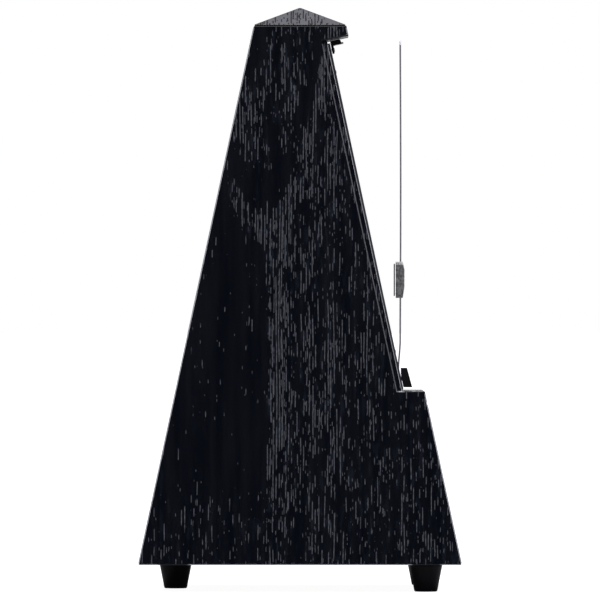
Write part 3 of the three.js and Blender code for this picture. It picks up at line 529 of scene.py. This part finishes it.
def brass(name, dark, light, roughness):
    """Brass with fine scratches and a faint tarnish."""
    material, tree, shader = new_material(name)
    place = tree.millimetres()
    tarnish = tree.noise(place, scale=0.3, detail=5, roughness=0.6)
    scratches = tree.noise(tree.scale(place, (0.4, 5.0, 5.0)), detail=3)
    tree.set(shader.inputs["Base Color"], tree.mix(tree.smooth(tarnish, 0.35, 0.7), rgb(*light), rgb(*dark)))
    tree.set(shader.inputs["Roughness"], tree.smooth(tarnish, 0.3, 0.7, roughness - 0.06, roughness + 0.12))
    tree.set(shader.inputs["Normal"], tree.bump(scratches, 0.01 * MM, 0.35))
    shader.inputs["Metallic"].default_value = 1
    return material


def scale_ink():
    """Black printing ink, a little worn."""
    material, tree, shader = new_material("scale_ink")
    wear_and_highlight_mottle = tree.noise(tree.millimetres(), scale=3, detail=3)
    tree.set(shader.inputs["Base Color"], tree.mix(wear_and_highlight_mottle, grey(0.008), grey(0.03)))
    tree.set(shader.inputs["Roughness"], tree.smooth(wear_and_highlight_mottle, 0.3, 0.7, 0.4, 0.6))
    return material


# ---- Shapes ----

def welded_copy(node):
    """The shape of a CAD node as a mesh of its own: corners joined, flat faces whole."""
    shape = bmesh.new()
    shape.from_mesh(frame["nodes"][node].data)
    bmesh.ops.remove_doubles(shape, verts=shape.verts, dist=0.001 * MM)
    bmesh.ops.dissolve_limit(
        shape, angle_limit=math.radians(0.3), verts=shape.verts, edges=shape.edges, delimit={"NORMAL"},
    )
    return shape


def new_piece(name, shape, smooth_angle=math.radians(35)):
    """Turns a bmesh into an object, smooth where its faces meet at less than the given angle."""
    mesh = bpy.data.meshes.new(name)
    bmesh.ops.recalc_face_normals(shape, faces=shape.faces)
    shape.to_mesh(mesh)
    shape.free()
    if smooth_angle:
        mesh.shade_smooth()
        mesh.set_sharp_from_angle(angle=smooth_angle)
    piece = bpy.data.objects.new(name, mesh)
    bpy.context.collection.objects.link(piece)
    return piece


def stand_for(piece, *nodes, material=None):
    """Lets a piece replace CAD nodes: it takes their body and, unless told otherwise, their slot's material."""
    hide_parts(*nodes)
    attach(piece, BODY_OF[nodes[0]])
    piece.data.materials.append(material or MATERIALS[SLOT_OF[nodes[0]]])
    return piece


def bevel(piece, width, segments=3, weighted=False, edge_material=None):
    """Rounds the piece's edges. The rounded strip may have a material of its own.

    A weighted bevel is as wide as each edge's weight says, up to the given width.
    """
    modifier = piece.modifiers.new("bevel", "BEVEL")
    modifier.width = width
    modifier.segments = segments
    modifier.limit_method = "WEIGHT" if weighted else "ANGLE"
    modifier.angle_limit = BEVEL_ANGLE
    modifier.harden_normals = any(face.use_smooth for face in piece.data.polygons)
    if edge_material:
        piece.data.materials.append(edge_material)
        modifier.material = len(piece.data.materials) - 1
    return piece


def apply_modifiers(piece):
    """Makes the piece's modifiers part of its mesh."""
    graph = bpy.context.evaluated_depsgraph_get()
    mesh = bpy.data.meshes.new_from_object(piece.evaluated_get(graph))
    piece.modifiers.clear()
    piece.data = mesh


def turned_shape(profile, segments=64):
    """A bmesh turned about Z from (radius, height) points.

    It is closed if the profile starts and ends on the axis or comes back to its first point.
    """
    shape = bmesh.new()
    points = [shape.verts.new((radius, 0, height)) for radius, height in profile]
    edges = [shape.edges.new(pair) for pair in zip(points, points[1:])]
    bmesh.ops.spin(
        shape, geom=points + edges, cent=(0, 0, 0), axis=(0, 0, 1), angle=math.tau, steps=segments,
    )
    bmesh.ops.remove_doubles(shape, verts=shape.verts, dist=0.0001 * MM)
    return shape


def rounded(profile, radius, steps=4):
    """A profile with its inner corners rounded by arcs of about the given radius."""
    smooth = [profile[0]]
    for before, corner, after in zip(profile, profile[1:], profile[2:]):
        here = Vector(corner)
        to_before, to_after = Vector(before) - here, Vector(after) - here
        cut = min(radius, to_before.length * 0.45, to_after.length * 0.45)
        start = here + to_before.normalized() * cut
        end = here + to_after.normalized() * cut
        for step in range(steps + 1):
            t = step / steps
            smooth.append(tuple(start * (1 - t) ** 2 + here * 2 * t * (1 - t) + end * t * t))
    return smooth + [profile[-1]]


# ---- Case ----

def weigh_edges(shape):
    """Gives a board's edges half the bevel's width, and the case's four long corners the whole of it."""
    slack = 0.3 * MM
    weight = shape.edges.layers.float.new("bevel_weight_edge")

    def on_long_corner(vert):
        half = BASE_HALF * MM - vert.co.z * math.tan(WALL_TILT)
        return abs(abs(vert.co.y) - half) < slack and abs(abs(vert.co.x) - half) < slack

    for edge in shape.edges:
        if edge.calc_face_angle(0) > BEVEL_ANGLE:
            edge[weight] = 1.0 if all(map(on_long_corner, edge.verts)) else 0.5
    return shape


def add_case():
    """The boards of the case, each with narrow rounded edges; but for the roof's and the base's, these carry a
    painted highlight and painted shade.
    """
    grain = {
        "side_panel_left": ("Y", "Z", (0, 0), False),
        "side_panel_right": ("Y", "Z", (3, 21), False),
        "back_panel": ("X", "Z", (-9, -34), False),
        "lower_front_panel": ("X", "Z", (6, 70), False),
        "ledge_board": ("Y", "X", (40, 60), False),
        "scale_board": ("X", "Z", (-22, 12), True),
        "head_block": ("X", "Z", (9, -60), True),
        "roof_cap": ("Y", "X", (-8, 62), False),
    }
    bright_painted_highlight_edge = rubbed_edge("rubbed_edge", highlight_strength=1.0)
    faint_painted_highlight_edge = rubbed_edge("faint_painted_highlight_edge", highlight_strength=0.2)
    for node, (across, along, shift, mirror) in grain.items():
        on_roof = node == "roof_cap"
        # The roof gets the dark pore tones and the walls the pale ones; the difference between them is painted
        # light.
        pore_tones, pore_depth = (DARK_PORES, 0.3) if on_roof else (PALE_PORES, 0.025)
        wood = black_wood(f"black_wood_{node}", across, along, shift, mirror, pore_tones, pore_depth)
        piece = new_piece(f"{node}_veneered", weigh_edges(welded_copy(node)), smooth_angle=0)
        stand_for(piece, node, material=wood)
        # The side panels' edges get a bright painted highlight, the other boards' a faint one; both carry painted
        # shade.
        edge = bright_painted_highlight_edge if node.startswith("side_panel") else faint_painted_highlight_edge
        bevel(piece, 0.9 * MM, segments=2, weighted=True, edge_material=None if on_roof else edge)
    base = new_piece("base_board_cut", welded_copy("base_board"), smooth_angle=0)
    bevel(stand_for(base, "base_board"), 0.3 * MM, segments=2)


def add_feet():
    """Three tapered feet with a softly rounded sole and a counterbore for the screw."""
    sole_radius, height, rounding = 4.2, 10.0, 0.7
    bore, counterbore, counterbore_top = 1.8, 2.9, -5.0
    for place in ("front_left", "front_right", "rear"):
        node = f"foot_{place}"
        low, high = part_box(node)
        middle = (low + high) / 2
        profile = rounded([
            (bore, 0), (FOOT_TOP_RADIUS, 0), (sole_radius, -height), (counterbore, -height),
            (counterbore, counterbore_top), (bore, counterbore_top), (bore, 0),
        ], rounding)
        shape = turned_shape([(radius * MM, level * MM) for radius, level in profile])
        bmesh.ops.translate(shape, verts=shape.verts, vec=(middle.x, middle.y, high.z))
        stand_for(new_piece(f"{node}_moulded", shape), node)


# ---- Fittings on the front ----

def add_plastic_fittings():
    """The pendulum's bridge and the top catch, with the soft edges of moulded plastic."""
    for node, width in (("pendulum_bridge", 0.45), ("top_catch", 0.25)):
        piece = new_piece(f"{node}_moulded", welded_copy(node))
        bevel(stand_for(piece, node), width * MM, segments=3)


def add_small_metal():
    """Pins, leaves and bushes: the CAD shapes with their edges eased."""
    for node, width in (
        ("scale_plate", 0.08), ("catch_leaf", 0.08), ("weight_spring", 0.08), ("key_bush", 0.3),
        ("pendulum_bob", 0.4), ("verge_collet", 0.2), ("rear_cock", 0.3),
        ("scale_pin_top_left", 0.1), ("scale_pin_top_right", 0.1),
        ("scale_pin_low_left", 0.1), ("scale_pin_low_right", 0.1),
    ):
        piece = new_piece(f"{node}_finished", welded_copy(node))
        bevel(stand_for(piece, node), width * MM, segments=2)


def add_screws():
    """Screws with a slot across the head. Each head faces along an axis, and lies at that end of its node."""
    right, forward = Vector((1, 0, 0)), Vector((0, -1, 0))
    down, up = Vector((0, 0, -1)), Vector((0, 0, 1))
    heads = [
        ("bridge_screw_left", forward, 30), ("bridge_screw_right", forward, 75),
        ("catch_screw", forward, 15), ("bob_screw", forward, 60), ("click_screw", right, 40),
        ("foot_screw_front_left", down, 20), ("foot_screw_front_right", down, 65),
        ("foot_screw_rear", down, 110),
    ]
    heads += [(f"frame_screw_{i + 1}", up, 25 + 35 * i) for i in range(4)]
    for node, axis, turn in heads:
        low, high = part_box(node)
        middle = (low + high) / 2
        reach = abs((high - low).dot(axis)) / 2
        across = (high - low) - Vector(map(abs, axis)) * reach * 2
        head_width = max(across)
        screw = new_piece(f"{node}_slotted", welded_copy(node))
        cut_slot(screw, middle + axis * reach, axis, turn, head_width)
        stand_for(screw, node)


def cut_slot(screw, top, axis, turn, head_width):
    """Cuts a straight slot across the top of a screw's head."""
    depth, width = head_width * 0.14, head_width * 0.17
    shape = bmesh.new()
    bmesh.ops.create_cube(shape, size=1)
    bmesh.ops.scale(shape, verts=shape.verts, vec=(head_width * 2, width, depth * 2))
    stand = axis.to_track_quat("Z", "Y").to_matrix().to_4x4() @ Matrix.Rotation(math.radians(turn), 4, "Z")
    bmesh.ops.transform(shape, verts=shape.verts, matrix=Matrix.Translation(top) @ stand)
    cutter = new_piece("slot_cutter", shape)
    modifier = screw.modifiers.new("slot", "BOOLEAN")
    modifier.operation = "DIFFERENCE"
    modifier.solver = "EXACT"
    modifier.object = cutter
    apply_modifiers(screw)
    bpy.data.objects.remove(cutter)


def tempo_height(beats):
    """How far above the pivot the weight's top edge stands at a tempo in beats a minute.

    The rod, bob and weight are a compound pendulum: w^2 (inertia + l^2) = g (moment - l). Moment and
    inertia are taken per unit of the weight's mass, and chosen so that 40 and 208 fall at the ends of
    the weight's travel.
    """
    gravity, moment, inertia = 9.81, 0.1330, 0.007258
    speed = (math.pi * beats / 60) ** 2
    half = gravity / (2 * speed)
    return -half + math.sqrt(half * half + gravity * moment / speed - inertia)


def tempo_marks():
    """The usual steps of a metronome's scale, from 40 to 208 beats a minute."""
    steps = ((40, 60, 2), (60, 72, 3), (72, 120, 4), (120, 144, 6), (144, 209, 8))
    return [beats for first, last, step in steps for beats in range(first, last, step)]


def add_scale_print():
    """Printed tempo lines and numbers on the scale plate, stepped from side to side."""
    pivot = frame_joint("pendulum_swing")
    plate_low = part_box("scale_plate")[0]
    # plate_low.y is on the front face and plate_low.z on the rear one, so the ink lies about 0.04 mm
    # inside the plate and does not show.
    ink = scale_ink()
    parts = []
    for count, beats in enumerate(tempo_marks()):
        level = pivot.z + tempo_height(beats)
        side = -1 if count % 2 == 0 else 1
        y = plate_low.y + (level - plate_low.z) * math.tan(WALL_TILT)
        parts.append(printed_line(side, y, level))
        parts.append(printed_number(str(beats), side, y, level))
    piece = joined("scale_print", parts)
    piece.data.materials.clear()
    piece.data.materials.append(ink)
    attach(piece, "case")


def frame_joint(name):
    """The place of a joint at rest."""
    joint = next(joint for joint in frame["joints"] if joint["name"] == name)
    return Vector(joint["pos_m"])


def on_plate(y, z):
    """Stands a flat print on the leaning plate, at a place on its middle line."""
    lean = Matrix.Rotation(math.pi / 2 - WALL_TILT, 4, "X")
    return Matrix.Translation((0, y, z)) @ lean


def printed_line(side, y, z):
    """A short tempo line that runs in from the plate's edge."""
    length, width, from_middle = 2.4 * MM, 0.22 * MM, 4.2 * MM
    shape = bmesh.new()
    bmesh.ops.create_cube(shape, size=1)
    bmesh.ops.scale(shape, verts=shape.verts, vec=(length, width, PRINT_THICKNESS * MM))
    bmesh.ops.translate(shape, verts=shape.verts, vec=(side * from_middle, 0, 0))
    bmesh.ops.transform(shape, verts=shape.verts, matrix=on_plate(y, z))
    return new_piece("line", shape)


def printed_number(text, side, y, z):
    """A tempo number beside its line."""
    size, from_middle = 2.1 * MM, 7.6 * MM
    curve = bpy.data.curves.new("number", "FONT")
    curve.body = text
    curve.size = size
    curve.extrude = PRINT_THICKNESS * MM / 2
    curve.align_x = "CENTER"
    curve.align_y = "CENTER"
    curve.resolution_u = 3
    letter = bpy.data.objects.new("number", curve)
    bpy.context.collection.objects.link(letter)
    graph = bpy.context.evaluated_depsgraph_get()
    mesh = bpy.data.meshes.new_from_object(letter.evaluated_get(graph))
    bpy.data.objects.remove(letter)
    mesh.transform(on_plate(y, z) @ Matrix.Translation((side * from_middle, 0, 0)))
    number = bpy.data.objects.new("number", mesh)
    bpy.context.collection.objects.link(number)
    return number


def joined(name, parts):
    """Several objects as one."""
    shape = bmesh.new()
    for part in parts:
        shape.from_mesh(part.data)
        bpy.data.objects.remove(part)
    return new_piece(name, shape, smooth_angle=0)


# ---- Pendulum ----

def share_between(value, start, length):
    """How far a value is along a stretch, from 0 to 1, held at its ends."""
    return min(max((value - start) / length, 0), 1)


def add_rod():
    """One springy steel strip from the bob to the tip, slightly bowed, that bends where it is pushed back."""
    half_width, half_thickness = 1.5 * MM, 0.3 * MM
    step_start, step_length, tip_length = 2 * MM, 12 * MM, 1.2 * MM
    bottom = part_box("rod_lower")[0].z
    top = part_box("rod_upper")[1].z
    pivot, flex = frame_joint("pendulum_swing"), frame_joint("rod_lean")
    bow, count = 0.18 * MM, 120
    shape = bmesh.new()
    rows = []
    for i in range(count + 1):
        z = bottom + (top - bottom) * i / count
        step = share_between(z, pivot.z + step_start, step_length)
        middle = pivot.y + (flex.y - pivot.y) * step * step * (3 - 2 * step)
        middle -= bow * math.sin(math.pi * share_between(z, flex.z, top - flex.z))
        narrowing = share_between(z, top - tip_length, tip_length)
        half = half_width * (1 - 0.5 * narrowing * narrowing)
        front, back = middle - half_thickness, middle + half_thickness
        corners = ((-half, front), (half, front), (half, back), (-half, back))
        rows.append([shape.verts.new((x, y, z)) for x, y in corners])
    for below, above in zip(rows, rows[1:]):
        for a in range(4):
            b = (a + 1) % 4
            shape.faces.new((below[a], below[b], above[b], above[a]))
    shape.faces.new(rows[0])
    shape.faces.new(reversed(rows[-1]))
    rod = new_piece("pendulum_rod", shape)
    bevel(rod, 0.08 * MM, segments=2)
    apply_modifiers(rod)
    rod.data.materials.append(MATERIALS["rod_steel"])
    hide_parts("rod_lower", "rod_upper")
    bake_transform(rod)


def remeshed(node, voxel, smoothing, name):
    """A CAD node's shape as a fine even mesh with soft edges, as if it were cast."""
    piece = new_piece(name, welded_copy(node))
    remesh = piece.modifiers.new("remesh", "REMESH")
    remesh.mode = "VOXEL"
    remesh.voxel_size = voxel
    remesh.use_smooth_shade = True
    smooth = piece.modifiers.new("smooth", "SMOOTH")
    smooth.factor = 0.5
    smooth.iterations = smoothing
    return piece


def add_weight():
    """The sliding weight: a rough casting whose skin dips and rises."""
    piece = remeshed("sliding_weight", 0.2 * MM, 6, "sliding_weight_cast")
    texture = bpy.data.textures.new("cast_skin", "CLOUDS")
    texture.noise_scale = 0.9 * MM
    texture.noise_depth = 2
    skin = piece.modifiers.new("skin", "DISPLACE")
    skin.texture = texture
    skin.texture_coords = "LOCAL"
    skin.strength = 0.22 * MM
    skin.mid_level = 1.0
    apply_modifiers(piece)
    stand_for(piece, "sliding_weight")


def add_key():
    """The winding key, cast in brass with rounded edges."""
    piece = remeshed("winding_key", 0.2 * MM, 8, "winding_key_cast")
    apply_modifiers(piece)
    stand_for(piece, "winding_key")


# ---- Everything ----

def make_materials():
    """One material for each slot of the record but the boards', whose grain runs its own way in each."""
    upright, even = (6.0, 6.0, 0.15), (3.0, 3.0, 3.0)
    sideways, fine_sideways = (0.3, 5.0, 5.0), (0.2, 6.0, 6.0)
    return {
        "base_wood": fibreboard(),
        "black_plastic": moulded_black("black_plastic", (0.002, 0.002, 0.0022), 0.4, 6.0, 0.02, 0.2),
        "foot_rubber": moulded_black("foot_rubber", (0.0050, 0.0056, 0.0078), 0.36, 4.0, 0.02, 0.15),
        "rod_steel": drawn_steel("rod_steel", (0.52, 0.51, 0.53), (0.76, 0.75, 0.77), 0.38, upright),
        "screw_steel": drawn_steel("screw_steel", (0.40, 0.40, 0.41), (0.66, 0.66, 0.67), 0.3, even),
        "spring_steel": drawn_steel("spring_steel", (0.06, 0.065, 0.085), (0.16, 0.17, 0.21), 0.34, sideways),
        "cast_weight": cast_metal("cast_weight", (0.28, 0.28, 0.275), (0.62, 0.62, 0.60), 0.12),
        "scale_metal": satin_scale(),
        "key_brass": brass("key_brass", (0.42, 0.27, 0.09), (0.74, 0.53, 0.22), 0.24),
        "movement_brass": brass("movement_brass", (0.38, 0.24, 0.08), (0.66, 0.47, 0.19), 0.32),
        "movement_steel": drawn_steel(
            "movement_steel", (0.30, 0.30, 0.32), (0.58, 0.58, 0.60), 0.28, fine_sideways,
        ),
        "bob_metal": cast_metal("bob_metal", (0.07, 0.07, 0.075), (0.17, 0.17, 0.18), 0.08),
    }


def finish_remaining_nodes():
    """Gives every CAD node that still shows its slot's material."""
    for node, shown in frame["nodes"].items():
        if shown.hide_render:
            continue
        shown.data.materials.clear()
        shown.data.materials.append(MATERIALS[SLOT_OF[node]])


add_camera()
MATERIALS = make_materials()
add_floor()
add_lights()
add_case()
add_feet()
add_plastic_fittings()
add_small_metal()
add_screws()
add_scale_print()
add_rod()
add_weight()
add_key()
finish_remaining_nodes()

bpy.context.scene.view_settings.view_transform = "Standard"
